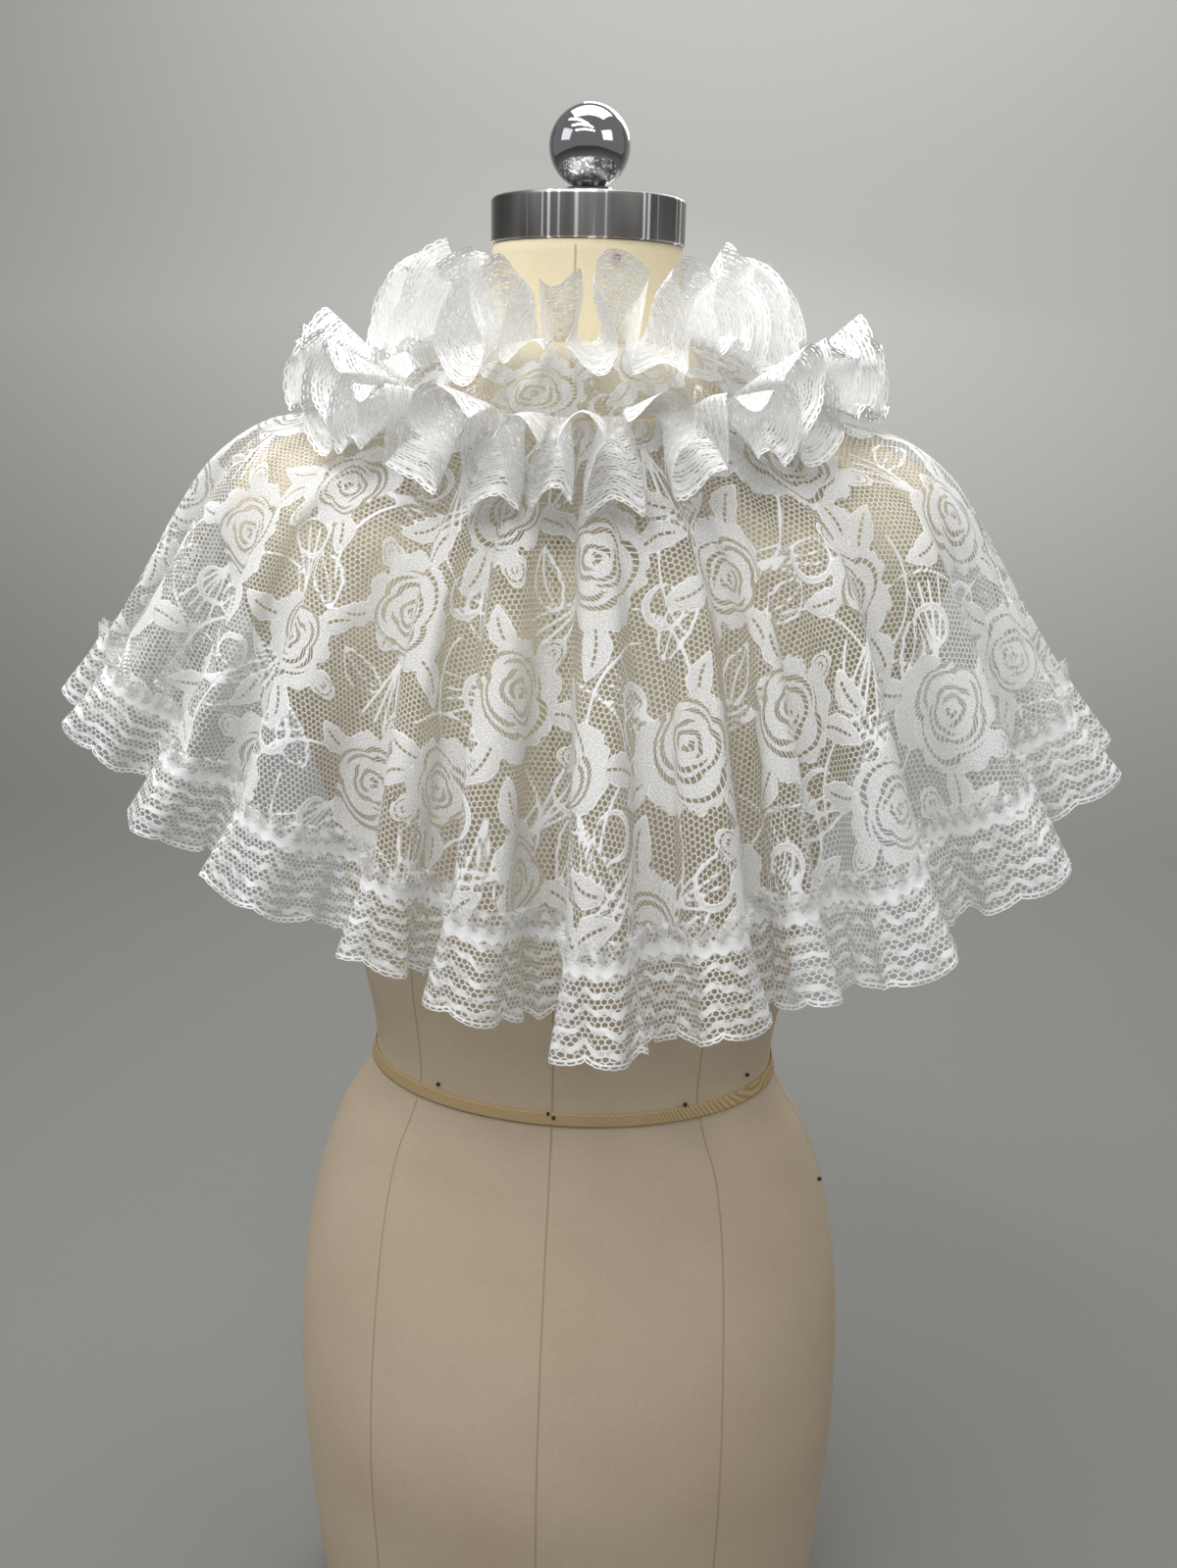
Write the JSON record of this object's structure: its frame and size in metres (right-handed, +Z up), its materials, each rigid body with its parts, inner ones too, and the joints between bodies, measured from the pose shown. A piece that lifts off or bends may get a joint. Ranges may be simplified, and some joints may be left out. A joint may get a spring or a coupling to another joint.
{
  "type": "lace capelet on a dress form",
  "caption": "Short lace cape in soft hanging folds with a gathered hem ruffle and a standing collar between two neck ruffles, resting on a limbless dress form.",
  "frame": {"origin": "middle of the flat underside of the dress form's base board", "axes": "+Z up along the form, +Y towards the garment's front opening, +X to the wearer's right"},
  "size_m": [0.5824, 0.3888, 0.9068],
  "materials": {
    "lace": "openwork white lace",
    "linen": "matte woven",
    "tape": "matte twill",
    "board": "plain",
    "brushed_steel": "brushed upright",
    "polished_steel": "polished",
    "pearl": "soft sheen"
  },
  "bodies": {
    "root": {"form_base_board": "board", "form_body": "linen", "form_waist_tape": "tape", "form_neck_cap": "brushed_steel", "form_finial": "polished_steel", "cape_front_left": "lace", "cape_back": "lace", "cape_front_right": "lace", "hem_ruffle_front_left": "lace", "hem_ruffle_back": "lace", "hem_ruffle_front_right": "lace", "collar_band": "lace", "neck_ruffle_base": "lace", "neck_ruffle_top": "lace", "collar_button": "pearl"}
  },
  "joints": []
}
